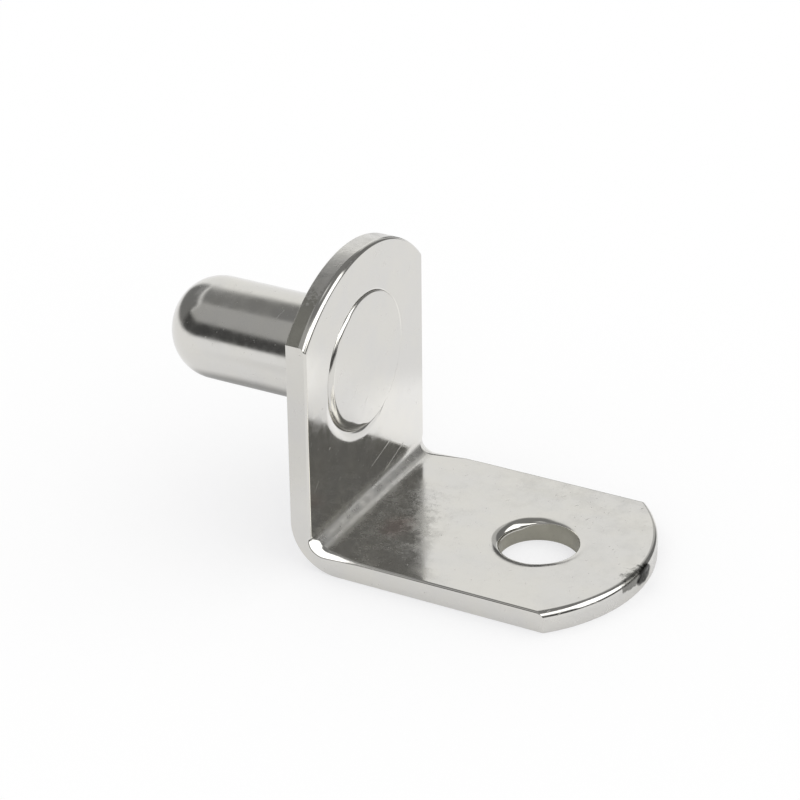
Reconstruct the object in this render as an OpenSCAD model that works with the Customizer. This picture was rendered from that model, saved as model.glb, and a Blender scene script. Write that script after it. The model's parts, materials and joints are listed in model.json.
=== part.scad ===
/* Plug-in shelf support: a punched and folded strip bracket whose upright
   plate carries a solid headed pin, and whose leg has a screw hole. */

/* [Strip] */
// Width of the strip that the bracket is folded from
strip_w = 11.3; // [10:0.1:14]
// Thickness of the strip
strip_t = 1.05; // [0.9:0.05:1.6]
// Rounding that the punch leaves on the face edge of both arc ends
end_roll_r = 0.36; // [0.1:0.02:0.6]
// Rounding of the face edges along the straight sides
side_roll_r = 0.12; // [0.04:0.02:0.3]

/* [Upright plate] */
// Height from the underside of the leg to the crown of the plate
plate_h = 14.2; // [13:0.1:18]
// Radius of the arc that ends the plate
plate_arc_r = 7.4; // [7.1:0.1:12]

/* [Leg] */
// Reach from the back of the plate to the crown of the leg
leg_l = 15.4; // [14:0.1:24]
// Radius of the arc that ends the leg
leg_arc_r = 7.9; // [7.1:0.1:12]

/* [Fold] */
// Radius inside the fold
fold_in_r = 0.7; // [0.3:0.05:1.2]
// Radius outside the fold
fold_out_r = 2.4; // [1.2:0.1:2.8]

/* [Screw hole] */
// Diameter of the hole in the leg
hole_d = 3.8; // [3:0.1:4.6]
// Distance from the back of the plate to the middle of the hole
hole_x = 10.1; // [8:0.1:11]
// Rounding that the punch leaves round the mouth of the hole
hole_roll_r = 0.36; // [0.1:0.02:0.5]

/* [Pin] */
// Diameter of the pin
pin_d = 5; // [4.6:0.1:6]
// Reach of the pin from the back of the plate
pin_l = 9.1; // [6:0.1:12]
// Rounding of the pin's tip
tip_r = 2.25; // [0.5:0.05:2.4]
// Height of the pin's middle above the underside of the leg
pin_rise = 8.4; // [7.6:0.1:8.8]

/* [Head and seat] */
// Diameter of the head that holds the pin in the plate
head_d = 6.8; // [6.6:0.1:7.2]
// Thickness of the head
head_t = 0.5; // [0.45:0.05:0.6]
// Rounding round the face of the head
head_edge_r = 0.18; // [0.06:0.02:0.3]
// How far the neck, which fills the plate behind the head, stands out round the pin
neck_step = 0.2; // [0.1:0.02:0.26]
// Rounding round the mouth of the seat
seat_roll_r = 0.36; // [0.1:0.02:0.5]
// Gap all round between the pin and the plate
seat_gap = 0.03; // [0.01:0.01:0.1]

/* [Hidden] */

// Facets of every round form
$fn = 128;
// How far each cutter reaches past the face that it opens
past = 0.2;

hole_r = hole_d / 2;
pin_r = pin_d / 2;
head_r = head_d / 2;
neck_r = pin_r + neck_step;

// The frame: x runs from the back of the plate along the leg, z from the pin's middle
underside_z = -pin_rise;
crown_z = underside_z + plate_h;
plate_arc_z = crown_z - plate_arc_r;
leg_arc_x = leg_l - leg_arc_r;

// The head's face is flush with the plate's, and its back lies on the ledge of the seat
head_face_x = strip_t;
ledge_x = head_face_x - head_t;

// What rounding takes off a corner at the origin of material towards -x and -y
module corner_scrap(round_r) {
    translate([-round_r, -round_r])
        difference() {
            square(round_r + past);
            circle(round_r);
        }
}

// Half section of a disc of the strip's thickness, with its upper edge rounded
module disc_section(disc_r, round_r) {
    difference() {
        translate([0, -past])
            square([disc_r, strip_t + 2 * past]);
        translate([disc_r, strip_t])
            corner_scrap(round_r);
    }
}

// Half section of what rounding takes off the mouth of a round hole, from its rim down
module mouth_scrap(mouth_r, round_r) {
    translate([mouth_r, 0])
        mirror([1, 0])
            corner_scrap(round_r);
}

// Rectangle from the origin, rounded at that corner
module cornered_rect(size, corner_r) {
    translate([corner_r, 0])
        square([size.x - corner_r, size.y]);
    translate([0, corner_r])
        square([size.x, size.y - corner_r]);
    translate([corner_r, corner_r])
        circle(corner_r);
}

// Side view of the folded strip, with x along the leg and y up the plate
module fold_section() {
    difference() {
        cornered_rect([leg_l, plate_h], fold_out_r);
        translate([strip_t, strip_t])
            cornered_rect([leg_l, plate_h], fold_in_r);
    }
}

// Turns a form drawn round the z axis so that its top faces along the leg
module facing_leg() {
    rotate([0, 90, 0])
        children();
}

// The folded strip at its full width, with square ends
module folded_strip() {
    translate([0, 0, underside_z])
        rotate([90, 0, 0])
            linear_extrude(strip_w, center = true)
                fold_section();
}

// Room for the strip up to its two arc ends, whose face edges are rounded
module end_arcs() {
    translate([-past, -strip_w / 2 - past, underside_z - past])
        cube([leg_arc_x + past, strip_w + 2 * past, plate_h - plate_arc_r + past]);
    translate([0, 0, plate_arc_z])
        facing_leg()
            rotate_extrude()
                disc_section(plate_arc_r, end_roll_r);
    translate([leg_arc_x, 0, underside_z])
        rotate_extrude()
            disc_section(leg_arc_r, end_roll_r);
}

// What rounding takes off the face edge of one straight side, from plate to leg
module side_scrap() {
    fold_centre = strip_t + fold_in_r;
    edge_y = strip_w / 2;

    translate([strip_t, edge_y, underside_z + fold_centre])
        linear_extrude(plate_h)
            corner_scrap(side_roll_r);
    translate([fold_centre, edge_y, underside_z + strip_t])
        rotate([90, 0, 90])
            linear_extrude(leg_l)
                corner_scrap(side_roll_r);
    translate([fold_centre, edge_y, underside_z + fold_centre])
        rotate([-90, 0, 0])
            rotate_extrude()
                mouth_scrap(fold_in_r, side_roll_r);
}

// The hole through the leg, with the rounded mouth that the punch leaves
module screw_hole() {
    translate([hole_x, 0, underside_z]) {
        translate([0, 0, -past])
            cylinder(h = strip_t + 2 * past, r = hole_r);
        translate([0, 0, strip_t])
            rotate_extrude()
                mouth_scrap(hole_r, hole_roll_r);
    }
}

// The stepped hole through the plate: bore, ledge, well for the head and rounded mouth
module pin_seat() {
    well_r = head_r + seat_gap;

    facing_leg() {
        translate([0, 0, -past])
            cylinder(h = strip_t, r = neck_r + seat_gap);
        translate([0, 0, ledge_x])
            cylinder(h = strip_t, r = well_r);
        translate([0, 0, strip_t])
            rotate_extrude()
                mouth_scrap(well_r, seat_roll_r);
    }
}

// Half section of the pin, from the head's face at the bottom, past the neck, to the tip
module pin_section() {
    difference() {
        union() {
            translate([0, -head_face_x])
                square([head_r, head_t]);
            translate([0, -ledge_x])
                square([neck_r, ledge_x]);
            square([pin_r, pin_l]);
        }
        translate([pin_r, pin_l])
            corner_scrap(tip_r);
        translate([head_r, -head_face_x])
            mirror([0, 1])
                corner_scrap(head_edge_r);
    }
}

module bracket() {
    color("silver")
        difference() {
            intersection() {
                folded_strip();
                end_arcs();
            }
            side_scrap();
            mirror([0, 1, 0])
                side_scrap();
            screw_hole();
            pin_seat();
        }
}

module pin() {
    color("gainsboro")
        rotate([0, -90, 0])
            rotate_extrude()
                pin_section();
}

bracket();
pin();
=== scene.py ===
"""A plug-in shelf support of bright nickel plate: a folded strip and the headed pin in its plate.

The strip is punched, rounded over on its face edges and folded once. Its upright plate holds the
pin by a flush head, and its leg has a screw hole. Both pieces are lofted here with an exact
shading normal on every face corner, so that the plating reflects cleanly.
"""

from __future__ import annotations

import functools
import json
import logging
import math
from dataclasses import dataclass, field
from enum import Enum
from typing import Callable, Iterator, Sequence

import bpy
from bpy.types import Camera, Material, Mesh, Node, NodeSocket, Object
from mathutils import Matrix, Vector
from mathutils.geometry import delaunay_2d_cdt

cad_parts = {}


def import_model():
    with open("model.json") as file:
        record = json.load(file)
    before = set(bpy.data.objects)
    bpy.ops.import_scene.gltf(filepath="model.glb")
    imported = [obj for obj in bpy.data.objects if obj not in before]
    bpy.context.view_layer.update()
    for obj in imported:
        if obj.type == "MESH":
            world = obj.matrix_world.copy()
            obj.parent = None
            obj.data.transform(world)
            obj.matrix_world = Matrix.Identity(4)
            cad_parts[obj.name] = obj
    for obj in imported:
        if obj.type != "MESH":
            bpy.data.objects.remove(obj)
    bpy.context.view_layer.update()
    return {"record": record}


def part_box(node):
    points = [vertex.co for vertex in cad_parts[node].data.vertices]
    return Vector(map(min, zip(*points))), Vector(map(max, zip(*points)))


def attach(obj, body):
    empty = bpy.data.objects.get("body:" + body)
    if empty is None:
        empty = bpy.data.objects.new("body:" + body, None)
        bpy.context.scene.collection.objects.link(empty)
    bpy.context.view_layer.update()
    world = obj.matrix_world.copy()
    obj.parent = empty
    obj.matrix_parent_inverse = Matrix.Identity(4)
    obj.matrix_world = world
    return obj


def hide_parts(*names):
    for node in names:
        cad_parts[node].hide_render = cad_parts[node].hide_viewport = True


LOG = logging.getLogger("shelf_support")

MM = 0.001
QUARTER = math.pi / 2

AHEAD = Vector((1.0, 0.0, 0.0))
ASIDE = Vector((0.0, 1.0, 0.0))
UP = Vector((0.0, 0.0, 1.0))

# Which way a turned wall looks: away from its axis, and along it
OUTWARD, INWARD = (1.0, 0.0), (-1.0, 0.0)
ONWARD, BACKWARD = (0.0, 1.0), (0.0, -1.0)

# The power that joins the depths of two crossing roundings, and the least depth that isn't flat
CROSSING = 6
FLAT = 1e-9

# The inputs of the node that eases a value from one span to another
SPAN_INPUTS = ("Value", "From Min", "From Max", "To Min", "To Max")

# What the triangulation keeps, which is all inside the outlines, and how near two points are one
INSIDE, ONE_POINT = 1, 1e-6

# The corners of a square, once round
SQUARE = ((0, 0), (1, 0), (1, 1), (0, 1))

Two = tuple[float, float]
Three = tuple[float, float, float]
Edge = tuple[float, float, float, float]
Wall = tuple[float, float, Two]
Number = NodeSocket | float
Floats = Sequence[float]


class Zone(Enum):
    """Where on a piece a face lies, which decides the finish that it takes."""

    FACE = 0
    SHEARED = 1
    BACK = 2
    HOLE = 3
    ARC = 4


def ease(value: float) -> float:
    """Smooth step of a value that is held between 0 and 1."""
    held = min(max(value, 0.0), 1.0)
    return held * held * (3.0 - 2.0 * held)


def crowd(share: float) -> float:
    """Shifts even shares between 0 and 1 so that they lie closer together towards 1."""
    return math.sin(QUARTER * share)


def spread(low: float, high: float, count: int, shift: Callable[[float], float] = float) -> list[float]:
    """Values from low to high, evenly spaced unless they are shifted.

    Args:
        low: The first value.
        high: The last value.
        count: How many steps lie between them.
        shift: Turns an even share between 0 and 1 into the wanted one.

    Returns:
        count + 1 values.
    """
    return [low + (high - low) * shift(step / count) for step in range(count + 1)]


def placed(name: str, data: Mesh | Camera) -> Object:
    """Adds an object to the scene.

    Args:
        name: Its name.
        data: The mesh or camera that it shows.

    Returns:
        The new object.
    """
    made = bpy.data.objects.new(name, data)
    bpy.context.scene.collection.objects.link(made)
    return made


@dataclass
class Row:
    """One line of mesh points and the shading normal of each."""

    points: list[int]
    normals: list[Vector]

    def facing(self, normals: Sequence[Vector]) -> Row:
        """The same points with other normals, which makes a sharp edge between two bands."""
        return Row(self.points, list(normals))


Rims = tuple[Row, Row]


class MeshDraft:
    """Collects the points and faces of a piece, with a normal for every face corner."""

    def __init__(self) -> None:
        """Starts an empty draft."""
        self.points: list[Vector] = []
        self.faces: list[list[int]] = []
        self.normals: list[Vector] = []
        self.zones: list[int] = []

    def row(self, places: Sequence[Vector], normals: Sequence[Vector]) -> Row:
        """Adds a line of points.

        Args:
            places: Where the points lie.
            normals: The shading normal at each of them.

        Returns:
            The new row.
        """
        first = len(self.points)
        self.points.extend(places)
        return Row(list(range(first, len(self.points))), list(normals))

    def face(self, corners: Sequence[int], normals: Sequence[Vector], zone: Zone) -> None:
        """Adds one face, turned so that its front looks the way its normals do.

        Args:
            corners: The points round the face.
            normals: The shading normal at each corner.
            zone: The finish that the face takes.
        """
        crossing = Vector()
        for near, far in zip(corners, [*corners[1:], corners[0]]):
            crossing += self.points[near].cross(self.points[far])
        if crossing.dot(sum(normals, Vector())) < 0.0:
            corners, normals = list(reversed(corners)), list(reversed(normals))
        self.faces.append(list(corners))
        self.normals.extend(normals)
        self.zones.append(zone.value)

    def band(self, near: Row, far: Row, zones: Zone | Sequence[Zone]) -> None:
        """Fills the closed strip between two rows of equal length with four-sided faces.

        Args:
            near: One edge of the strip.
            far: The other edge.
            zones: The finish that the strip takes, or one for each face.
        """
        count = len(near.points)
        for here in range(count):
            after = (here + 1) % count
            self.face(
                [near.points[here], near.points[after], far.points[after], far.points[here]],
                [near.normals[here], near.normals[after], far.normals[after], far.normals[here]],
                zones if isinstance(zones, Zone) else zones[here],
            )

    def bands(self, rows: Sequence[Row], zone: Zone) -> Rims:
        """Fills the strips between rows that follow one another.

        Args:
            rows: The rows, in order.
            zone: The finish that the strips take.

        Returns:
            The first row and the last one.
        """
        for near, far in zip(rows, rows[1:]):
            self.band(near, far, zone)
        return rows[0], rows[-1]

    def sheet(self, loops: Sequence[Row], flat: Callable[[Vector], Two], zone: Zone) -> None:
        """Fills a flat area inside the first loop and outside the others.

        Args:
            loops: The closed outlines, the outer one first.
            flat: Gives the two in-plane coordinates of a point.
            zone: The finish that the area takes.
        """
        ids = [point for loop in loops for point in loop.points]
        owners = [number for number, loop in enumerate(loops) for _ in loop.points]
        edges: list[tuple[int, int]] = []
        for loop in loops:
            start, count = len(edges), len(loop.points)
            edges.extend((start + step, start + (step + 1) % count) for step in range(count))
        plan = [Vector(flat(self.points[point])) / MM for point in ids]
        _, _, triangles, sources, *_ = delaunay_2d_cdt(plan, edges, [], INSIDE, ONE_POINT)
        for triangle in triangles:
            inputs = [sources[corner][0] for corner in triangle]
            held_by = {owners[corner] for corner in inputs}
            if 0 in held_by or len(held_by) > 1:
                self.face([ids[corner] for corner in inputs], [loops[0].normals[0]] * 3, zone)

    def piece(self, name: str) -> Object:
        """Makes the mesh object.

        Args:
            name: The name of the piece.

        Returns:
            The new object, linked to the scene.
        """
        mesh = bpy.data.meshes.new(name)
        mesh.from_pydata(self.points, [], self.faces)
        mesh.polygons.foreach_set("material_index", self.zones)
        mesh.shade_smooth()
        mesh.normals_split_custom_set(self.normals)
        mesh.update()
        return placed(name, mesh)


@dataclass(frozen=True)
class Roll:
    """The rounding that a punch or a barrel leaves along an edge."""

    reach: float
    depth: float

    def level(self, inset: float) -> Two:
        """How deep the surface lies at a distance in from the wall, and how it leans.

        Args:
            inset: The distance from the wall, in the face's plane.

        Returns:
            The depth below the face, and the angle from the wall's normal to the surface's.
        """
        if inset >= self.reach:
            return 0.0, QUARTER
        turn = math.acos(1.0 - max(inset, 0.0) / self.reach)
        return self.depth * (1.0 - math.sin(turn)), turn

    def scaled(self, share: float) -> Roll:
        """The same rounding, larger or smaller."""
        return Roll(self.reach * share, self.depth * share)

    def lean(self, turn: float, wall: Vector, face: Vector) -> Vector:
        """The normal of the rounding, at an angle from the wall's normal to the face's."""
        return (wall * (math.cos(turn) / self.reach) + face * (math.sin(turn) / self.depth)).normalized()


@dataclass(frozen=True)
class Rim:
    """A rounding that changes smoothly round an axis.

    Each stop is an angle in degrees, and the rounding's reach and depth there in millimetres.
    """

    stops: tuple[Three, ...]

    def at(self, turn: float) -> Roll:
        """The rounding at an angle.

        Args:
            turn: The angle round the axis, in radians.

        Returns:
            The rounding there.
        """
        angle = math.degrees(turn) % 360.0
        closed = [*self.stops, (self.stops[0][0] + 360.0, *self.stops[0][1:])]
        near, far = next(pair for pair in zip(closed, closed[1:]) if angle < pair[1][0])
        share = ease((angle - near[0]) / (far[0] - near[0]))
        return Roll(*((low + (high - low) * share) * MM for low, high in zip(near[1:], far[1:])))


@dataclass
class Turned:
    """A form turned round an axis: it makes rows of points round that axis."""

    draft: MeshDraft
    centre: Vector
    axis: Vector
    across: Vector
    count: int = 128

    @property
    def turns(self) -> list[float]:
        """The angles of its points, once round."""
        return [math.tau * step / self.count for step in range(self.count)]

    @property
    def spokes(self) -> list[Vector]:
        """Unit directions square to the axis, once round."""
        other = self.axis.cross(self.across)
        return [self.across * math.cos(turn) + other * math.sin(turn) for turn in self.turns]

    def leaning(self, outward: float, along: float) -> list[Vector]:
        """Normals for a ring, by their part away from the axis and their part along it."""
        return [(spoke * outward + self.axis * along).normalized() for spoke in self.spokes]

    def ring(self, radius: float, height: float, way: Two) -> Row:
        """One ring of points.

        Args:
            radius: The ring's radius.
            height: How far along the axis it lies.
            way: The part of its normals away from the axis, and the part along it.

        Returns:
            The new row.
        """
        places = [self.centre + self.axis * height + spoke * radius for spoke in self.spokes]
        return self.draft.row(places, self.leaning(*way))

    def carried(self, rim: Row, walls: Sequence[Wall], zone: Zone) -> Row:
        """Carries the form on by sharp-edged bands.

        Args:
            rim: The ring that the first band starts from.
            walls: For each band the radius and the height that it leads to, and which way it looks.
            zone: The finish that the bands take.

        Returns:
            The last ring.
        """
        for wall in walls:
            ring = self.ring(*wall)
            self.draft.band(rim.facing(ring.normals), ring, zone)
            rim = ring
        return rim

    def rounding(self, radius: float, top: float, rim: Rim, steps: int, side: float) -> list[Row]:
        """The rounded edge of a disc, or of a hole's mouth, from the face to the wall.

        Args:
            radius: The radius of the wall.
            top: How far along the axis the face lies.
            rim: The rounding, which may vary round the axis.
            steps: How many bands it is made of.
            side: 1 where the wall looks outward, as a disc's does, and -1 in a hole.

        Returns:
            The rows.
        """
        rolls = [rim.at(turn) for turn in self.turns]
        rows: list[Row] = []
        for turn in spread(QUARTER, 0.0, steps):
            places, normals = [], []
            for spoke, roll in zip(self.spokes, rolls):
                out = radius - side * roll.reach * (1.0 - math.cos(turn))
                level = top - roll.depth * (1.0 - math.sin(turn))
                places.append(self.centre + self.axis * level + spoke * out)
                normals.append(roll.lean(turn, spoke * side, self.axis))
            rows.append(self.draft.row(places, normals))
        return rows


class Wiring:
    """Short calls for the nodes of a material."""

    def __init__(self, name: str) -> None:
        """Makes a material and empties its node tree, to work in it.

        Args:
            name: The name of the material.
        """
        self.material = bpy.data.materials.new(name)
        self.material.use_nodes = True
        self.tree = self.material.node_tree
        self.tree.nodes.clear()

    def node(
        self, kind: str, inputs: dict[str | int, Number | Floats] | None = None, **settings: str
    ) -> Node:
        """Adds a node.

        Args:
            kind: Its type, as its name goes on after ShaderNode.
            inputs: What each input takes, by name or number: a socket to link or a plain value.
            settings: The node's own settings.

        Returns:
            The new node.
        """
        made = self.tree.nodes.new(f"ShaderNode{kind}")
        for name, setting in settings.items():
            setattr(made, name, setting)
        for name, value in (inputs or {}).items():
            if isinstance(value, NodeSocket):
                self.tree.links.new(value, made.inputs[name])
            else:
                made.inputs[name].default_value = value
        return made

    def surfaced(self, shader: Node) -> Material:
        """The material, with a shader as its surface."""
        self.node("OutputMaterial", {"Surface": shader.outputs[0]})
        return self.material

    def place(self) -> NodeSocket:
        """The place on the object, in its own metres."""
        return self.node("TexCoord").outputs["Object"]

    def maths(self, kind: str, *values: Number) -> NodeSocket:
        """One sum of one or two numbers."""
        return self.node("Math", dict(enumerate(values)), operation=kind).outputs[0]

    def times(self, *values: Number) -> NodeSocket:
        """The product of numbers."""
        return functools.reduce(functools.partial(self.maths, "MULTIPLY"), values)

    def total(self, *values: Number) -> NodeSocket:
        """The sum of numbers."""
        return functools.reduce(functools.partial(self.maths, "ADD"), values)

    def largest(self, *values: Number) -> NodeSocket:
        """The largest of numbers."""
        return functools.reduce(functools.partial(self.maths, "MAXIMUM"), values)

    def vector(self, kind: str, *values: NodeSocket | Floats) -> NodeSocket:
        """One sum of vectors, which gives a number for a length or a dot product."""
        node = self.node("VectorMath", dict(enumerate(values)), operation=kind)
        return node.outputs["Value" if kind in ("LENGTH", "DOT_PRODUCT") else "Vector"]

    def scaled(self, place: NodeSocket, scale: Floats, shift: Floats = (0.0,) * 3) -> NodeSocket:
        """A place, multiplied along each axis by scale and then moved by shift."""
        return self.vector("MULTIPLY_ADD", place, scale, shift)

    def turned(self, place: NodeSocket, turns: Floats) -> NodeSocket:
        """A place, turned round the three axes."""
        inputs = {"Vector": place, "Rotation": turns}
        return self.node("VectorRotate", inputs, rotation_type="EULER_XYZ").outputs[0]

    def noise(self, place: NodeSocket, scale: float, detail: float, rough: float) -> NodeSocket:
        """Soft noise round one half: cells per unit of place, octaves, and the finer octaves' strength."""
        inputs = {"Vector": place, "Scale": scale, "Detail": detail, "Roughness": rough}
        return self.node("TexNoise", inputs).outputs["Fac"]

    def spanned(
        self, value: NodeSocket, low: float, high: float, first: float, last: float
    ) -> NodeSocket:
        """A value eased from first, at and below low, to last, at and above high."""
        inputs = dict(zip(SPAN_INPUTS, (value, low, high, first, last)))
        return self.node("MapRange", inputs, interpolation_type="SMOOTHSTEP").outputs["Result"]

    def rise(self, value: NodeSocket, low: float, high: float) -> NodeSocket:
        """A value eased from 0 at low to 1 at high."""
        return self.spanned(value, low, high, 0.0, 1.0)

    def fall(self, value: NodeSocket, low: float, high: float) -> NodeSocket:
        """A value eased from 1 at low to 0 at high."""
        return self.spanned(value, low, high, 1.0, 0.0)

    def blend(self, share: NodeSocket, first: NodeSocket | Floats, second: Floats, kind: str) -> NodeSocket:
        """A colour mixed with a second one (MIX), or multiplied by it (MULTIPLY), as far as share goes."""
        inputs = {"Factor": share, 6: first, 7: second}
        return self.node("Mix", inputs, data_type="RGBA", blend_type=kind).outputs[2]


@dataclass(frozen=True)
class Patch:
    """A place with ragged edges where the plating is duller, darker, lighter or tinted: some patches are real
    marks, others painted shade or a painted highlight; sizes in millimetres.
    """

    centre: Three
    radii: Three
    tint: Three = (1.0, 1.0, 1.0)
    dull: Two = (0.0, 0.0)
    ragged: float = 0.5
    edge: float = 0.3
    cells: float = 2.2

    def share(self, tree: Wiring, place: NodeSocket) -> NodeSocket:
        """How much of the patch there is at a place.

        Args:
            tree: The material's nodes.
            place: The place on the piece, in millimetres.

        Returns:
            A value that is 1 inside the patch and 0 outside it.
        """
        shift = [-centre / radius for centre, radius in zip(self.centre, self.radii)]
        inside = tree.scaled(place, [1.0 / radius for radius in self.radii], shift)
        torn = tree.times(tree.noise(place, self.cells, detail=3.0, rough=0.6), self.ragged)
        middle = 1.0 + 0.5 * self.ragged
        return tree.fall(tree.total(tree.vector("LENGTH", inside), torn), middle - self.edge, middle)

    def dulling(self, tree: Wiring, place: NodeSocket) -> NodeSocket:
        """The roughness that the patch adds at a place, mottled."""
        finer = tree.noise(place, 1.6 * self.cells, detail=4.0, rough=0.65)
        return tree.times(self.share(tree, place), tree.spanned(finer, 0.38, 0.62, *self.dull))


@dataclass(frozen=True)
class Scratch:
    """A single handling scratch between two places, in millimetres."""

    start: Three
    end: Three
    width: float = 0.05
    fade_in: float = 0.3
    fade_out: float = 0.5

    def share(self, tree: Wiring, place: NodeSocket) -> NodeSocket:
        """Where the scratch is.

        Args:
            tree: The material's nodes.
            place: The place on the piece, in millimetres.

        Returns:
            A value that is 1 in the scratch and 0 outside it.
        """
        way = Vector(self.end) - Vector(self.start)
        from_start = tree.scaled(place, (1.0, 1.0, 1.0), [-part for part in self.start])
        off = tree.vector("LENGTH", tree.vector("CROSS_PRODUCT", from_start, way.normalized()))
        along = tree.vector("DOT_PRODUCT", from_start, way.normalized())
        ends = tree.rise(along, 0.0, self.fade_in), tree.fall(along, way.length - self.fade_out, way.length)
        return tree.times(*ends, tree.fall(off, 0.25 * self.width, self.width))


@dataclass(frozen=True)
class Crease:
    """Fine lines along the inside of a fold, where the metal was squeezed; sizes in millimetres."""

    corner: Two
    half: float = 4.95
    fade_from: float = -0.05
    fade_to: float = 0.25
    side_fade: float = 0.35
    lines: Three = (7.0, 0.1, 7.0)
    lift: float = 0.0065
    dull: float = 0.16

    def share(self, tree: Wiring, place: NodeSocket) -> NodeSocket:
        """Where the lines are.

        Args:
            tree: The material's nodes.
            place: The place on the piece, in millimetres.

        Returns:
            A value that is 1 in the fold, and 0 on the flat faces and at the rounded sides.
        """
        parts = tree.node("SeparateXYZ", {0: place}).outputs
        inside = [
            tree.fall(parts[axis], corner + self.fade_from, corner + self.fade_to)
            for axis, corner in zip("XZ", self.corner)
        ]
        across = tree.fall(tree.maths("ABSOLUTE", parts["Y"]), self.half, self.half + self.side_fade)
        return tree.times(*inside, across)

    def height(self, tree: Wiring, place: NodeSocket) -> NodeSocket:
        """The height of the lines, in millimetres."""
        drawn = tree.noise(tree.scaled(place, self.lines), scale=1.0, detail=2.0, rough=0.7)
        return tree.times(drawn, self.lift, self.share(tree, place))


@dataclass(frozen=True)
class Nickel:
    """Bright nickel plate, with the small marks of barrel polishing and handling, and patches that can hold
    painted shade or a painted highlight; sizes in millimetres.
    """

    name: str
    colour: Three = (0.67, 0.66, 0.63)
    cool: Three = (0.985, 0.985, 0.985)
    warm: Three = (1.01, 1.005, 0.985)
    roughness: float = 0.13
    uneven: float = 0.05
    wave: float = 0.010
    wave_size: float = 2.4
    grain: float = 0.0
    grain_size: float = 0.16
    fine_depth: float = 0.00015
    fine_dull: float = 0.22
    scratch_dull: float = 0.42
    patches: tuple[Patch, ...] = ()
    scratches: tuple[Scratch, ...] = ()
    crease: Crease | None = None

    def material(self) -> Material:
        """Builds the node material.

        Returns:
            The new material.
        """
        tree = Wiring(self.name)
        place = tree.scaled(tree.place(), (1.0 / MM,) * 3)
        cool, warm = ((*map(math.prod, zip(self.colour, tone)), 1.0) for tone in (self.cool, self.warm))
        cloud = tree.noise(place, scale=0.45, detail=3.0, rough=0.55)
        tint = tree.blend(tree.rise(cloud, 0.35, 0.65), cool, warm, "MIX")
        fine = self.fine_scratches(tree, place)
        blotch = tree.noise(place, scale=1.3, detail=4.0, rough=0.6)
        dull = [
            tree.spanned(blotch, 0.3, 0.7, self.roughness - self.uneven, self.roughness + self.uneven),
            tree.times(fine, self.fine_dull),
        ]
        for patch in self.patches:
            tint = tree.blend(patch.share(tree, place), tint, (*patch.tint, 1.0), "MULTIPLY")
            dull.append(patch.dulling(tree, place))
        dull += [tree.times(mark.share(tree, place), self.scratch_dull) for mark in self.scratches]
        wave = tree.noise(place, 1.0 / self.wave_size, detail=2.0, rough=0.4)
        grain = tree.noise(place, 1.0 / self.grain_size, detail=3.0, rough=0.6)
        height = [
            tree.times(wave, self.wave * self.wave_size / math.tau),
            tree.times(grain, self.grain * self.grain_size / math.tau),
            tree.times(fine, -self.fine_depth),
        ]
        if self.crease:
            dull.append(tree.times(self.crease.share(tree, place), self.crease.dull))
            height.append(self.crease.height(tree, place))

        relief = {"Strength": 1.0, "Distance": MM, "Height": tree.total(*height)}
        bump = tree.node("Bump", relief).outputs["Normal"]
        look = {"Base Color": tint, "Metallic": 1.0, "Roughness": tree.total(*dull), "Normal": bump}
        return tree.surfaced(tree.node("BsdfPrincipled", look))

    def fine_scratches(self, tree: Wiring, place: NodeSocket) -> NodeSocket:
        """Fine straight scratches, in a few directions.

        Args:
            tree: The material's nodes.
            place: The place on the piece, in millimetres.

        Returns:
            A value that is 1 in a scratch and 0 outside it.
        """
        found = []
        for turn, seed in ((0.5, 3.0), (1.7, 11.0), (2.6, 27.0)):
            turned = tree.turned(place, (turn, turn * 0.7, turn * 1.3))
            drawn = tree.scaled(turned, (9.0, 0.35, 9.0), (seed, 0.0, seed))
            found.append(tree.rise(tree.noise(drawn, scale=1.0, detail=1.0, rough=0.5), 0.745, 0.785))
        return tree.largest(*found)


@dataclass(frozen=True)
class Surface:
    """The face or the back of the folded strip: down the plate, round the fold and out along the leg."""

    begins: float
    turned: float
    middle: Two
    radius: float
    facing: float

    def place(self, along: float, across: float, depth: float) -> tuple[Vector, Vector, Vector]:
        """A place on the surface or below it.

        Args:
            along: Distance along the strip's face from the plate's crown.
            across: Distance from the strip's middle line.
            depth: Distance below the surface.

        Returns:
            The point, the surface's normal there, and the direction in which along grows.
        """
        into = along - self.begins
        bent = min(max(into, 0.0), self.turned)
        turn = QUARTER * bent / self.turned
        ahead, up = math.cos(turn), math.sin(turn)
        inward, onward = self.radius + self.facing * depth, into - bent
        x = self.middle[0] - ahead * inward + up * onward
        z = self.middle[1] - up * inward - ahead * onward
        return Vector((x, across, z)), Vector((ahead, 0.0, up)) * self.facing, Vector((up, 0.0, -ahead))


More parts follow.
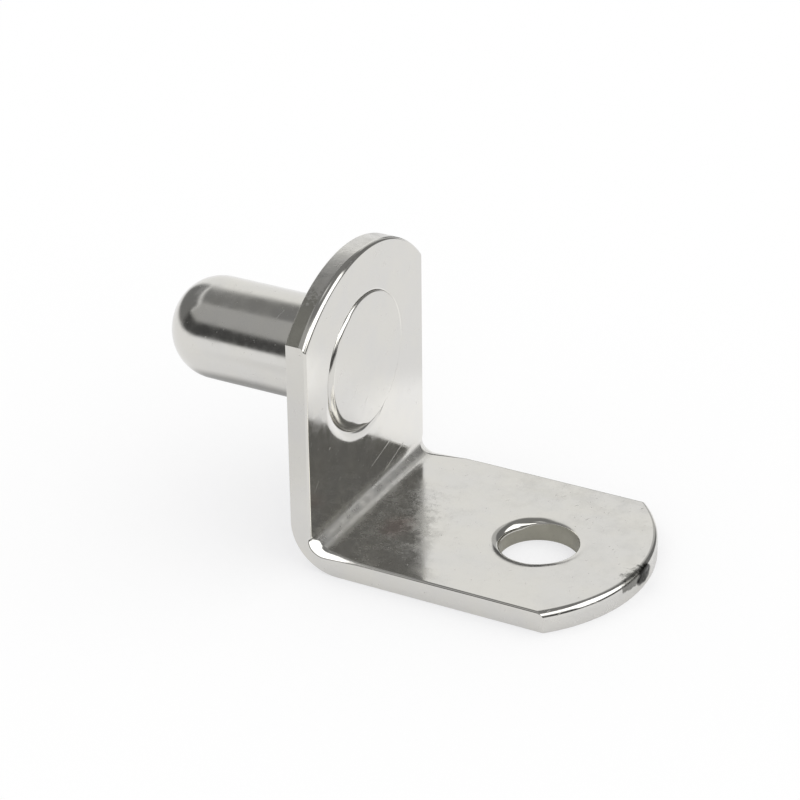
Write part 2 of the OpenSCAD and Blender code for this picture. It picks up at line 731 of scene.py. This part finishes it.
@dataclass(frozen=True)
class Squeeze:
    """How the metal that was squeezed in the fold flares and turns the rounding of the sides.

    The rounding flares up the plate and along the leg. Near the face its normal turns to a brow,
    halfway between plate and leg, and further out to a flat bevel. Past the fold, the glint turns
    the normal alone.
    """

    flare: float = 0.52 * MM
    deepens: float = 0.25
    up_plate: float = 0.6 * MM
    along_leg: float = 2.7 * MM
    gain: float = 2.2
    glint: float = 0.8
    glint_length: float = 8.0 * MM
    bevel_lean: float = math.radians(27.0)
    brow_share: float = 0.9
    brow_onset: float = 2.0
    bevel_share: float = 0.85
    bevel_onset: float = 2.5
    bevel_end: float = 3.0

    def roll(self, plain: Roll, off: float, beyond: float) -> tuple[Roll, float]:
        """The rounding of a side near the fold.

        Args:
            plain: The rounding away from the fold.
            off: Distance along the face from the middle of the flare.
            beyond: Distance along the face past the fold.

        Returns:
            The rounding there, and how far it is turned towards the bevel.
        """
        flare = 1.0 - ease(abs(off) / (self.up_plate if off < 0.0 else self.along_leg))
        glint = self.glint * (1.0 - ease(beyond / self.glint_length)) if beyond > 0.0 else 0.0
        wider = self.flare * flare
        turned = max(min(1.0, self.gain * flare), glint)
        return Roll(plain.reach + wider, plain.depth + self.deepens * wider), turned

    def lean(self, side: Roll, turn: float, turned: float, face: Vector, flank: Vector) -> Vector:
        """The normal of a side's rounding.

        Args:
            side: The rounding.
            turn: The angle from the flank's normal to the surface's.
            turned: How far it is turned towards the bevel.
            face: The normal of the face.
            flank: The normal of the side.

        Returns:
            The normal, not yet of unit length.
        """
        halfway = (AHEAD + UP).normalized()
        brow = face.lerp(halfway, self.brow_share * turned * min(1.0, self.brow_onset * math.cos(turn)))
        bevel = brow * math.cos(self.bevel_lean) + flank * math.sin(self.bevel_lean)
        bent = min(1.0, self.bevel_onset * math.cos(turn)) * min(1.0, self.bevel_end * math.sin(turn))
        return side.lean(turn, flank, brow).lerp(bevel, self.bevel_share * turned * bent)


@dataclass
class Bracket:
    """The folded strip: an upright plate, a leg, the fold, the pin's seat and the screw hole.

    Its cut edge counts as sheared where the wall's normal points across the strip by more than
    sheared_from. The rounding of the two arcs falls off to plate_least and leg_least of the full one.
    """

    width: float
    thick: float
    base: float
    crown: float
    reach: float
    hole_radius: float
    hole_along: float
    head_radius: float
    plate_arc: float = 7.4 * MM
    leg_arc: float = 7.9 * MM
    fold_inside: float = 0.7 * MM
    fold_outside: float = 2.4 * MM
    corner: float = 0.1 * MM
    least_corner: float = 0.02 * MM
    end_zone: float = 4.6 * MM
    sheared_from: float = 0.97
    end_roll: Roll = Roll(0.36 * MM, 0.36 * MM)
    side_roll: Roll = Roll(0.12 * MM, 0.12 * MM)
    back_roll: Roll = Roll(0.05 * MM, 0.05 * MM)
    plate_least: float = 0.36
    plate_fade: float = 1.5
    leg_least: float = 0.55
    hole_roll: Rim = Rim(
        (
            (0.0, 0.62, 0.09), (45.0, 0.78, 0.10), (90.0, 0.72, 0.10), (118.0, 0.60, 0.20),
            (145.0, 0.52, 0.38), (180.0, 0.52, 0.36), (225.0, 0.60, 0.24), (270.0, 0.70, 0.16),
            (310.0, 0.55, 0.09),
        )
    )
    seat_roll: Rim = Rim(
        (
            (0.0, 0.28, 0.07), (50.0, 0.26, 0.07), (80.0, 0.22, 0.14), (125.0, 0.34, 0.25),
            (155.0, 0.42, 0.34), (178.0, 0.40, 0.36), (205.0, 0.72, 0.26), (240.0, 0.58, 0.20),
            (262.0, 0.48, 0.18), (278.0, 0.40, 0.06), (296.0, 0.03, 0.01), (335.0, 0.03, 0.01),
        )
    )
    squeeze: Squeeze = Squeeze()
    flare_at: float = 0.45
    seat_gap: float = 0.004 * MM
    ledge: float = 0.55 * MM
    neck_radius: float = 2.7 * MM
    roll_steps: int = 10
    back_steps: int = 3
    seat_steps: int = 14
    hole_steps: int = 16
    arc_steps: int = 44
    corner_steps: int = 5
    side_steps: int = 12
    plain_steps: int = 8
    fold_steps: int = 28
    draft: MeshDraft = field(default_factory=MeshDraft)

    @property
    def half(self) -> float:
        """Half the strip's width."""
        return self.width / 2.0

    @property
    def fold_start(self) -> float:
        """Distance down the plate, from its crown, at which the outside of the fold begins."""
        return self.crown - self.base - self.fold_outside

    @property
    def fold_flat(self) -> float:
        """Flat length of the face on either side of the inside of the fold."""
        return self.fold_outside - self.thick - self.fold_inside

    @property
    def fold_length(self) -> float:
        """Length of the face across the fold."""
        return 2.0 * self.fold_flat + self.fold_inside * QUARTER

    @property
    def length(self) -> float:
        """Whole length of the strip, measured along its face."""
        return self.fold_start + self.fold_length + self.reach - self.fold_outside

    def face(self) -> Surface:
        """The face, which turns round the inside of the fold."""
        inside, begins = self.thick + self.fold_inside, self.fold_start + self.fold_flat
        turned, middle = self.fold_inside * QUARTER, (inside, self.base + inside)
        return Surface(begins, turned, middle, self.fold_inside, 1.0)

    def back(self) -> Surface:
        """The back, which turns round the outside of the fold."""
        middle = (self.fold_outside, self.base + self.fold_outside)
        return Surface(self.fold_start, self.fold_length, middle, self.fold_outside, -1.0)

    def quarter_outline(self, arc: float, end_inset: float, side_inset: float) -> list[Edge]:
        """One quarter of the strip's outline, from the crown of an end to its straight side.

        Args:
            arc: Radius of the end's arc.
            end_inset: How far inside the arc the outline runs.
            side_inset: How far inside the side it runs.

        Returns:
            For each point its distance from the end's crown, its distance from the middle line,
            and its outward normal in the same two directions.
        """

        def bow(middle: float, out: float, size: float, turns: Floats) -> Iterator[Edge]:
            """Points round a middle, by their angles from the line along the strip."""
            for turn in turns:
                ahead, aside = math.cos(turn), math.sin(turn)
                yield middle - size * ahead, out + size * aside, -ahead, aside

        radius, half = arc - end_inset, self.half - side_inset
        corner = max(self.corner - min(end_inset, side_inset), self.least_corner)
        corner_out = half - corner
        corner_in = arc - math.sqrt((radius - corner) ** 2 - corner_out**2)
        meets = math.asin(corner_out / (radius - corner))
        run = self.end_zone - corner_in
        straight = [corner_in + run * share**2 for share in spread(0.0, 1.0, self.side_steps)[1:]]
        return [
            *bow(arc, 0.0, radius, spread(0.0, meets, self.arc_steps, crowd)),
            *bow(corner_in, corner_out, corner, spread(meets, QUARTER, self.corner_steps)[1:]),
            *((along, half, 0.0, 1.0) for along in straight),
        ]

    def outline(self, end_inset: float, side_inset: float) -> list[Edge]:
        """The strip's closed outline as distance along, distance across, and outward normal.

        Args:
            end_inset: How far inside the two arcs the outline runs.
            side_inset: How far inside the two sides it runs.

        Returns:
            The points, once round from the crown of the plate.
        """
        leg = self.quarter_outline(self.leg_arc, end_inset, side_inset)
        right = [
            *self.quarter_outline(self.plate_arc, end_inset, side_inset),
            *((along, self.half - side_inset, 0.0, 1.0) for along in self.side_stations()),
            *((self.length - along, across, -ahead, aside) for along, across, ahead, aside in leg[::-1]),
        ]
        left = [(along, -across, ahead, -aside) for along, across, ahead, aside in right[-2:0:-1]]
        return right + left

    def side_stations(self) -> list[float]:
        """Distances along the face at which the straight sides have points, fold included."""
        far = self.fold_start + self.fold_length
        return [
            *spread(self.end_zone, self.fold_start, self.plain_steps)[1:],
            *spread(self.fold_start, far, self.fold_steps)[1:],
            *spread(far, self.length - self.end_zone, self.plain_steps)[1:-1],
        ]

    def end_gap(self, along: float, across: float) -> float:
        """How far inside the nearer arc a place lies.

        Args:
            along: Distance along the face from the plate's crown.
            across: Distance from the strip's middle line.

        Returns:
            The distance, which is infinite between the arcs.
        """
        ends = ((along, self.plate_arc), (self.length - along, self.leg_arc))
        gaps = [arc - math.hypot(inward - arc, across) for inward, arc in ends if inward < arc]
        return min(gaps, default=math.inf)

    def end_share(self, along: float, across: float) -> float:
        """How full the rounding of an arc is, since the punch cut deeper at the near side.

        Args:
            along: Distance along the face from the plate's crown.
            across: Distance from the strip's middle line.

        Returns:
            The share of the full rounding.
        """
        near = ease((self.half - across) / self.width)
        if along < self.length / 2.0:
            return self.plate_least + (1.0 - self.plate_least) * near**self.plate_fade
        return self.leg_least + (1.0 - self.leg_least) * near

    def edge_row(self, turn: float, ends: Roll, sides: Roll, surface: Surface) -> Row:
        """One row of the rounding that runs all round the strip.

        Args:
            turn: The angle of the rounding, from the wall at 0 to the face at a right angle.
            ends: The rounding of the arcs.
            sides: The rounding of the straight sides.
            surface: The face or the back.

        Returns:
            The new row.
        """
        share = 1.0 - math.cos(turn)
        flare_middle = self.fold_start + self.fold_flat + self.flare_at * self.fold_inside * QUARTER
        fold_end = self.fold_start + self.fold_length
        places: list[Vector] = []
        normals: list[Vector] = []
        for along, across, _, aside in self.outline(ends.reach * share, sides.reach * share):
            end, side, squeezed = ends, sides, 0.0
            if surface.facing > 0.0:
                end = ends.scaled(self.end_share(along, across))
                if abs(aside) == 1.0:
                    side, squeezed = self.squeeze.roll(sides, along - flare_middle, along - fold_end)
                    across = math.copysign(self.half - side.reach * share, across)
            end_depth, end_turn = end.level(self.end_gap(along, across))
            side_depth, side_turn = side.level(self.half - abs(across))
            joined = end_depth**CROSSING + side_depth**CROSSING
            point, normal, down = surface.place(along, across, joined ** (1.0 / CROSSING))
            if end_depth + side_depth > FLAT:
                centre = self.plate_arc if along < self.length / 2.0 else self.length - self.leg_arc
                radial = Vector((along - centre, across)).normalized()
                cut = end.lean(end_turn, down * radial.x + ASIDE * radial.y, normal)
                flank = ASIDE * math.copysign(1.0, across)
                leaning = self.squeeze.lean(side, side_turn, squeezed, normal, flank)
                normal = cut.lerp(leaning, side_depth**CROSSING / joined).normalized()
            places.append(point)
            normals.append(normal)
        return self.draft.row(places, normals)

    def rounded_edge(self, ends: Roll, sides: Roll, surface: Surface, steps: int, zone: Zone) -> Rims:
        """The rounding of one edge of the strip, all the way round.

        Args:
            ends: The rounding of the arcs.
            sides: The rounding of the straight sides.
            surface: The face or the back.
            steps: How many bands it is made of.
            zone: The finish that it takes.

        Returns:
            The row in the surface and the row on the wall.
        """
        rows = [self.edge_row(turn, ends, sides, surface) for turn in spread(QUARTER, 0.0, steps)]
        return self.draft.bands(rows, zone)

    def wall(self, top: Row, bottom: Row) -> None:
        """Fills the strip's cut edge, between the roundings of its face and its back.

        Args:
            top: The row on the wall below the face.
            bottom: The row on the wall above the back.
        """
        normals, zones = [], []
        for along, across, ahead, aside in self.outline(0.0, 0.0):
            down = self.face().place(along, across, 0.0)[2]
            normals.append((down * ahead + ASIDE * aside).normalized())
            zones.append(Zone.SHEARED if abs(aside) > self.sheared_from else Zone.ARC)
        self.draft.band(top.facing(normals), bottom.facing(normals), zones)

    def fill(self, rim: Row, seat: Row, hole: Row, zone: Zone) -> None:
        """Fills the face or the back inside its rounding, across plate, fold and leg.

        Args:
            rim: The row round the flat part.
            seat: The ring round the pin's seat.
            hole: The ring round the screw hole.
            zone: The finish that it takes.
        """
        count = len(rim.points)
        first = self.arc_steps + self.corner_steps + self.side_steps + self.plain_steps
        last = first + self.fold_steps

        def flat(low: int, high: int) -> Row:
            """The rim's right side from low to high, closed by the left side back.

            Args:
                low: The first point's place in the rim.
                high: The last point's.

            Returns:
                The closed outline, with the one normal of the flat area.
            """
            left = (-step % count for step in range(high, low - 1, -1))
            kept = dict.fromkeys([*range(low, high + 1), *left])
            return Row([rim.points[step] for step in kept], [rim.normals[first if low == 0 else last]])

        self.draft.sheet([flat(0, first), seat], lambda point: (point.y, point.z), zone)
        self.draft.sheet([flat(last, count // 2), hole], lambda point: (point.x, point.y), zone)
        for step in range(first, last):
            corners = (step, step + 1, count - step - 1, count - step)
            self.draft.face([rim.points[at] for at in corners], [rim.normals[at] for at in corners], zone)

    def opening(self, turned: Turned, roll: Rim, steps: int, walls: Sequence[Wall], zone: Zone) -> Rims:
        """A hole through the strip, from its rounded mouth down.

        Args:
            turned: The axis that it is turned round, which starts at the back.
            roll: The rounding of its mouth.
            steps: How many bands the rounding has.
            walls: Its sharp-edged walls below the rounding.
            zone: The finish of those walls.

        Returns:
            The ring in the face and the ring in the back.
        """
        rows = turned.rounding(walls[0][0], self.thick, roll, steps, -1.0)
        outer, rim = self.draft.bands(rows, Zone.FACE)
        return outer, turned.carried(rim, walls, zone).facing(turned.leaning(*BACKWARD))

    def seat(self) -> Rims:
        """The stepped hole for the pin: rounded mouth, well, ledge and bore.

        Returns:
            The ring in the plate's face and the ring in its back.
        """
        well, bore = self.head_radius + self.seat_gap, self.neck_radius + self.seat_gap
        walls = ((well, self.ledge, INWARD), (bore, self.ledge, ONWARD), (bore, 0.0, INWARD))
        turned = Turned(self.draft, Vector(), AHEAD, ASIDE)
        return self.opening(turned, self.seat_roll, self.seat_steps, walls, Zone.SHEARED)

    def screw_hole(self) -> Rims:
        """The screw hole with its rounded mouth.

        Returns:
            The ring in the leg's face and the ring in its underside.
        """
        turned = Turned(self.draft, Vector((self.hole_along, 0.0, self.base)), UP, AHEAD)
        walls = ((self.hole_radius, 0.0, INWARD),)
        return self.opening(turned, self.hole_roll, self.hole_steps, walls, Zone.HOLE)

    def build(self) -> Object:
        """Builds the bracket.

        Returns:
            The finished mesh object, which stands for the bracket's solid.
        """
        face_rim, face_wall = self.rounded_edge(
            self.end_roll, self.side_roll, self.face(), self.roll_steps, Zone.FACE
        )
        back_rim, back_wall = self.rounded_edge(
            self.back_roll, self.back_roll, self.back(), self.back_steps, Zone.BACK
        )
        self.wall(face_wall, back_wall)
        seat_face, seat_back = self.seat()
        hole_face, hole_back = self.screw_hole()
        self.fill(face_rim, seat_face, hole_face, Zone.FACE)
        self.fill(back_rim, seat_back, hole_back, Zone.BACK)
        return self.draft.piece("folded_bracket")

    def finishes(self) -> tuple[Nickel, ...]:
        """The marks and finishes of the bracket, with its patches of painted shade and painted highlight.

        Returns:
            The finishes, in the order of Zone.
        """
        soft = {"ragged": 0.6, "edge": 0.7, "cells": 1.4}
        mottled = Patch((3.4, -1.2, -7.4), (3.6, 6.5, 1.0), dull=(0.02, 0.17), **soft)
        warm = Patch((3.5, -1.8, -7.4), (1.0, 1.5, 0.5), tint=(1.03, 0.93, 0.93), ragged=0.9, edge=0.8)
        # A black spot and a grey blotch darken and dull the plating on the leg's rounded end
        black, grey = (0.05, 0.05, 0.045), (0.35, 0.35, 0.34)
        dark_spot = Patch((15.35, 0.15, -7.75), (0.6, 0.85, 0.5), black, (0.0, 0.2), 0.75, cells=3.0)
        blotch = Patch((15.15, -0.85, -7.6), (0.8, 1.25, 0.32), grey, (0.0, 0.2), 1.0, cells=3.6)
        # Painted highlight: the face is lightened along the inside of the fold
        painted_fold_highlight = Patch((1.27, 0.0, -7.13), (0.46, 5.5, 0.46), (1.3, 1.3, 1.3), ragged=0.3, edge=0.5)
        # Painted shade: the face is darkened and dulled in the groove at the near side of the pin's head
        painted_groove_shade = Patch((1.0, -3.5, -0.1), (0.6, 0.34, 1.35), (0.66, 0.66, 0.65), (0.0, 0.1), edge=0.6)
        burr = Patch((0.5, -5.1, 3.6), (1.6, 2.3, 2.5), (0.58, 0.58, 0.55), (0.05, 0.2), 1.3, 0.4, 6.0)
        long_scratch = Scratch((1.05, 2.35, -5.24), (1.05, 0.05, -5.86))
        short_scratch = Scratch((1.05, 3.7, -6.01), (1.05, 1.43, -6.71), 0.06)
        face = Nickel(
            "nickel_face",
            patches=(mottled, warm, painted_fold_highlight, painted_groove_shade, blotch, dark_spot),
            scratches=(long_scratch, short_scratch),
            crease=Crease((1.75, -6.65)),
        )
        marks = (blotch, dark_spot, burr)
        return (
            face,
            Nickel("nickel_sheared", roughness=0.2, grain=0.05, grain_size=0.22, wave=0.02),
            Nickel("nickel_back", roughness=0.17, wave=0.014),
            # The hole's wall is darker by painted shade in the recess; its rougher, grainier finish is the
            # sheared wall's own
            Nickel("nickel_in_hole", colour=(0.36, 0.35, 0.30), roughness=0.42, grain=0.16, grain_size=0.2),
            Nickel("nickel_arc_wall", roughness=0.32, uneven=0.08, grain=0.6, grain_size=0.12, patches=marks),
        )

    def dress(self, piece: Object) -> None:
        """Gives the bracket its finishes and ties it to the frame.

        Args:
            piece: The bracket's mesh object.
        """
        for finish in self.finishes():
            piece.data.materials.append(finish.material())
        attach(piece, "root")
        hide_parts("bracket")


@dataclass
class Pin:
    """The solid pin, with its rounded tip, its neck in the plate and its flush head."""

    radius: float
    tip: float
    head_face: float
    head_radius: float
    head_thick: float = 0.5 * MM
    head_edge: Rim = Rim(
        (
            (0.0, 0.03, 0.02), (50.0, 0.05, 0.04), (72.0, 0.24, 0.07), (95.0, 0.28, 0.08),
            (111.0, 0.29, 0.12), (120.0, 0.30, 0.28), (132.0, 0.32, 0.26), (141.0, 0.34, 0.17),
            (150.0, 0.34, 0.30), (160.0, 0.32, 0.32), (190.0, 0.38, 0.28), (215.0, 0.42, 0.24),
            (240.0, 0.52, 0.24), (260.0, 0.34, 0.18), (275.0, 0.10, 0.06), (292.0, 0.02, 0.01),
            (335.0, 0.02, 0.01),
        )
    )
    neck_radius: float = 2.7 * MM
    tip_round: float = 2.25 * MM
    edge_steps: int = 12
    tip_steps: int = 40
    draft: MeshDraft = field(default_factory=MeshDraft)

    def build(self) -> Object:
        """Builds the pin, turned round the x axis.

        Returns:
            The finished mesh object, which stands for the pin's solid.
        """
        turned = Turned(self.draft, Vector(), AHEAD, ASIDE)
        rows = turned.rounding(self.head_radius, self.head_face, self.head_edge, self.edge_steps, 1.0)
        self.draft.face(rows[0].points, rows[0].normals, Zone.FACE)
        _, rim = self.draft.bands(rows, Zone.FACE)
        ledge, neck = self.head_face - self.head_thick, self.neck_radius
        rim = turned.carried(rim, ((self.head_radius, ledge, OUTWARD),), Zone.FACE)
        walls = ((neck, ledge, BACKWARD), (neck, 0.0, OUTWARD), (self.radius, 0.0, BACKWARD))
        root = turned.carried(rim, walls, Zone.SHEARED)

        middle = self.radius - self.tip_round
        shank = [root.facing(turned.leaning(*OUTWARD))]
        for turn in spread(0.0, QUARTER, self.tip_steps):
            out, back = math.cos(turn), math.sin(turn)
            level = self.tip + self.tip_round * (1.0 - back)
            shank.append(turned.ring(middle + self.tip_round * out, level, (out, -back)))
        _, end = self.draft.bands(shank, Zone.FACE)
        self.draft.face(end.points, end.normals, Zone.FACE)
        return self.draft.piece("headed_pin")

    def dress(self, piece: Object) -> None:
        """Gives the pin its finishes and ties it to the frame.

        Args:
            piece: The pin's mesh object.
        """
        shank = Nickel("nickel_pin", roughness=0.16, wave=0.012, wave_size=1.6)
        neck = Nickel("nickel_pin_seat", roughness=0.2, grain=0.06)
        for finish in (shank, neck):
            piece.data.materials.append(finish.material())
        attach(piece, "root")
        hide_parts("pin")


@dataclass(frozen=True)
class Spot:
    """A soft painted shadow (a level below 1) or painted pool of light (a level above 1) on the floor, which
    the plating mirrors; sizes in millimetres.
    """

    centre: Two
    radii: Two
    level: float
    core: float = 0.4

    def light(self, tree: Wiring, place: NodeSocket, middle: Vector) -> NodeSocket:
        """The painted light or shade that the spot gives the floor.

        Args:
            tree: The floor's nodes.
            place: A place on the floor.
            middle: The floor's own middle in the frame.

        Returns:
            The spot's level inside it, and 1 outside.
        """
        scale = [1.0 / (radius * MM) for radius in self.radii]
        shift = [(own / MM - centre) / radius for own, centre, radius in zip(middle, self.centre, self.radii)]
        across = tree.scaled(place, (*scale, 1.0), (*shift, 0.0))
        return tree.spanned(tree.vector("LENGTH", across), self.core, 1.0, self.level, 1.0)


@dataclass(frozen=True)
class Card:
    """A curved card round the object, which the plating mirrors: a dark flag or a soft box.

    It spans two angles round the object and two above the floor, in degrees, as its fades do.
    """

    name: str
    turn: Two
    rise: Two
    strength: float
    fade: Two
    distance: float
    columns: int = 48
    rows: int = 24

    def build(self, centre: Vector) -> Object:
        """Makes the card, with edges that fade out.

        Args:
            centre: The middle of the object, which the card bends round.

        Returns:
            The card's object, which only the plating sees.
        """
        points, faces, places = [], [], []
        for rise in map(math.radians, spread(*self.rise, self.rows)):
            for turn in map(math.radians, spread(*self.turn, self.columns)):
                level = math.cos(rise)
                toward = Vector((math.cos(turn) * level, math.sin(turn) * level, math.sin(rise)))
                points.append(centre + toward * self.distance)
        for row in range(self.rows):
            for column in range(self.columns):
                near = row * (self.columns + 1) + column
                far = near + self.columns + 1
                faces.append((near, near + 1, far + 1, far))
                for step, lift in SQUARE:
                    places.extend(((column + step) / self.columns, (row + lift) / self.rows))
        mesh = bpy.data.meshes.new(self.name)
        mesh.from_pydata(points, [], faces)
        mesh.uv_layers.new(name="place").data.foreach_set("uv", places)
        mesh.materials.append(self.material())
        card = placed(self.name, mesh)
        card.visible_camera = False
        card.visible_diffuse = False
        card.visible_shadow = False
        return card

    def material(self) -> Material:
        """The card's even light, which fades out towards its edges.

        Returns:
            The new material.
        """
        tree = Wiring(self.name)
        place = tree.node("SeparateXYZ", {0: tree.node("TexCoord").outputs["UV"]}).outputs
        shares: list[Number] = [1.0]
        for axis, (low, high), fade in zip("XY", (self.turn, self.rise), self.fade):
            edge = fade / (high - low)
            if edge > 0.0:
                ends = tree.rise(place[axis], 0.0, edge), tree.fall(place[axis], 1.0 - edge, 1.0)
                shares.append(tree.times(*ends))
        light = tree.node("Emission", {"Strength": self.strength}).outputs[0]
        clear = tree.node("BsdfTransparent").outputs[0]
        return tree.surfaced(tree.node("MixShader", {0: tree.times(*shares), 1: clear, 2: light}))


@dataclass
class Studio:
    """The pale floor, the white room, the cards that the plating mirrors, and the camera."""

    floor_height: float
    centre: Vector
    cards: tuple[Card, ...] = (
        Card("overhead_flag", (-180.0, 180.0), (38.0, 90.0), 0.235, (0.0, 12.0), 62.0 * MM),
        Card("low_haze", (98.0, 117.0), (-3.0, 20.0), 0.12, (3.0, 3.0), 57.0 * MM),
        Card("far_haze", (77.0, 104.0), (0.0, 46.0), 0.55, (6.0, 8.0), 58.0 * MM),
        Card("right_flag", (-2.0, 85.0), (-8.0, 54.0), 0.20, (7.0, 5.0), 56.0 * MM),
        Card("front_haze", (-165.0, -30.0), (8.0, 68.0), 0.45, (10.0, 10.0), 58.0 * MM),
        Card("left_flag", (-213.0, -158.0), (-3.0, 42.0), 0.21, (8.0, 8.0), 56.0 * MM),
        Card("front_flag", (-170.0, 30.0), (-3.0, 27.0), 0.07, (10.0, 7.0), 54.0 * MM),
        Card("back_light", (-206.0, -185.0), (23.0, 38.0), 0.3, (4.0, 4.0), 50.0 * MM),
        Card("corner_box", (-52.0, -4.0), (28.0, 56.0), 2.1, (4.0, 4.0), 47.0 * MM),
        Card("side_box", (-9.0, 43.0), (10.0, 56.0), 2.1, (4.0, 4.0), 46.0 * MM),
    )
    # Painted shadows (levels below 1) and painted pools of light (above 1) on the floor, seen only where the
    # plating mirrors it
    spots: tuple[Spot, ...] = (
        Spot((-7.5, 3.0), (7.0, 7.0), 0.45),
        Spot((13.0, 10.5), (4.5, 4.5), 1.22),
        Spot((-7.5, -18.0), (9.0, 10.0), 0.90),
        Spot((4.0, 10.5), (4.5, 5.5), 1.20),
    )
    floor_half: float = 0.6
    floor_colour: float = 0.45
    floor_blue: float = 0.95
    mirrored_colour: float = 0.66
    focal_length: float = 135.0
    aim: Three = (2.929, -0.235, -1.492)
    distance: float = 140.011
    azimuth: float = 28.385
    elevation: float = 27.952
    roll: float = -0.7045

    def world(self) -> None:
        """A plain white room at a strength of 1, for every kind of ray."""
        world = bpy.data.worlds.new("studio")
        world.use_nodes = True
        bpy.context.scene.world = world
        sky = world.node_tree.nodes["Background"]
        sky.inputs["Color"].default_value = (1.0, 1.0, 1.0, 1.0)
        sky.inputs["Strength"].default_value = 1.0

    def floor(self) -> Object:
        """Lays the pale floor, which keeps the object's shadow.

        Returns:
            The floor's object.
        """
        mesh = bpy.data.meshes.new("floor")
        corners = [((2 * x - 1) * self.floor_half, (2 * y - 1) * self.floor_half, 0.0) for x, y in SQUARE]
        mesh.from_pydata(corners, [], [(0, 1, 2, 3)])
        mesh.materials.append(self.floor_material())
        floor = placed("floor", mesh)
        floor.location = (self.centre.x, self.centre.y, self.floor_height)
        return floor

    def floor_material(self) -> Material:
        """The floor's look: white to the camera, with painted shadows and painted pools of light where the
        plating mirrors it.

        Returns:
            The new material.
        """
        tree = Wiring("pale_floor")
        rays = tree.node("LightPath").outputs
        seen = tree.largest(rays["Is Camera Ray"], rays["Is Transmission Ray"])
        mirrored = rays["Is Glossy Ray"]
        place = tree.place()
        # The painted shadows and pools of light of the spots, for the rays that the plating mirrors
        lit = tree.times(*(spot.light(tree, place, self.centre) for spot in self.spots))
        matt, rest = self.floor_colour, 1.0 - self.floor_colour
        pale = tree.node("BsdfDiffuse", {"Color": (matt, matt, self.floor_blue * matt, 1.0)})
        black, white = (0.0, 0.0, 0.0, 1.0), (1.0, 1.0, 1.0, 1.0)
        # The floor's colour and glow for mirrored rays carry the painted shadows and light
        grey = tree.blend(tree.times(lit, self.mirrored_colour), black, white, "MIX")
        uneven = tree.node("BsdfDiffuse", {"Color": grey})
        strength = tree.total(seen, tree.times(mirrored, (1.0 - self.mirrored_colour) / rest, lit))
        shine = {"Color": (rest, rest, 1.0 - self.floor_blue * matt, 1.0), "Strength": strength}
        body = tree.node("MixShader", {0: mirrored, 1: pale.outputs[0], 2: uneven.outputs[0]})
        light = tree.node("Emission", shine)
        return tree.surfaced(tree.node("AddShader", {0: body.outputs[0], 1: light.outputs[0]}))

    def camera(self) -> Object:
        """Sets the camera.

        Returns:
            The camera's object.
        """
        lens = bpy.data.cameras.new("camera")
        lens.lens, lens.sensor_width = self.focal_length, 36.0
        lens.clip_start, lens.clip_end = 0.01, 10.0
        camera = placed("camera", lens)
        turn, rise, tilt = (math.radians(angle) for angle in (self.azimuth, self.elevation, self.roll))
        back = Vector((math.sin(turn) * math.cos(rise), -math.cos(turn) * math.cos(rise), math.sin(rise)))
        level = Vector((math.cos(turn), math.sin(turn), 0.0))
        upright = back.cross(level)
        right = level * math.cos(tilt) + upright * math.sin(tilt)
        up = upright * math.cos(tilt) - level * math.sin(tilt)
        stand = (Vector(self.aim) + back * self.distance) * MM
        camera.matrix_world = Matrix.Translation(stand) @ Matrix((right, up, back)).transposed().to_4x4()
        bpy.context.scene.camera = camera
        return camera

    def build(self) -> None:
        """Sets the whole studio and the plain view of it."""
        self.world()
        self.floor()
        for card in self.cards:
            card.build(self.centre)
        self.camera()
        bpy.context.scene.view_settings.view_transform = "Standard"


def mount(record: dict, name: str) -> dict:
    """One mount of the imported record."""
    return next(found for found in record["mounts"] if found["name"] == name)


def main() -> None:
    """Builds the shelf support on the frame, dresses it and sets the studio."""
    logging.basicConfig(level=logging.INFO, format="%(name)s: %(message)s")
    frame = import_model()
    record = frame["record"]
    low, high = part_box("bracket")
    pin_low, pin_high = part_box("pin")
    leg_top = mount(record, "leg_top")["pos_m"][2]
    hole = mount(record, "screw_hole")

    bracket = Bracket(
        width=high[1] - low[1],
        thick=leg_top - low[2],
        base=low[2],
        crown=high[2],
        reach=high[0],
        hole_radius=hole["dims"]["r_mm"] * MM,
        hole_along=hole["pos_m"][0],
        head_radius=pin_high[1],
    )
    strip = bracket.build()
    bracket.dress(strip)
    LOG.info("bracket: %d faces", len(strip.data.polygons))

    pin = Pin(
        radius=mount(record, "row_pin")["dims"]["r_mm"] * MM,
        tip=pin_low[0],
        head_face=pin_high[0],
        head_radius=pin_high[1],
    )
    stud = pin.build()
    pin.dress(stud)
    LOG.info("pin: %d faces", len(stud.data.polygons))

    Studio(floor_height=low[2], centre=(Vector(low) + Vector(high)) / 2.0).build()
    LOG.info("studio: set")


if __name__ == "__main__":
    main()
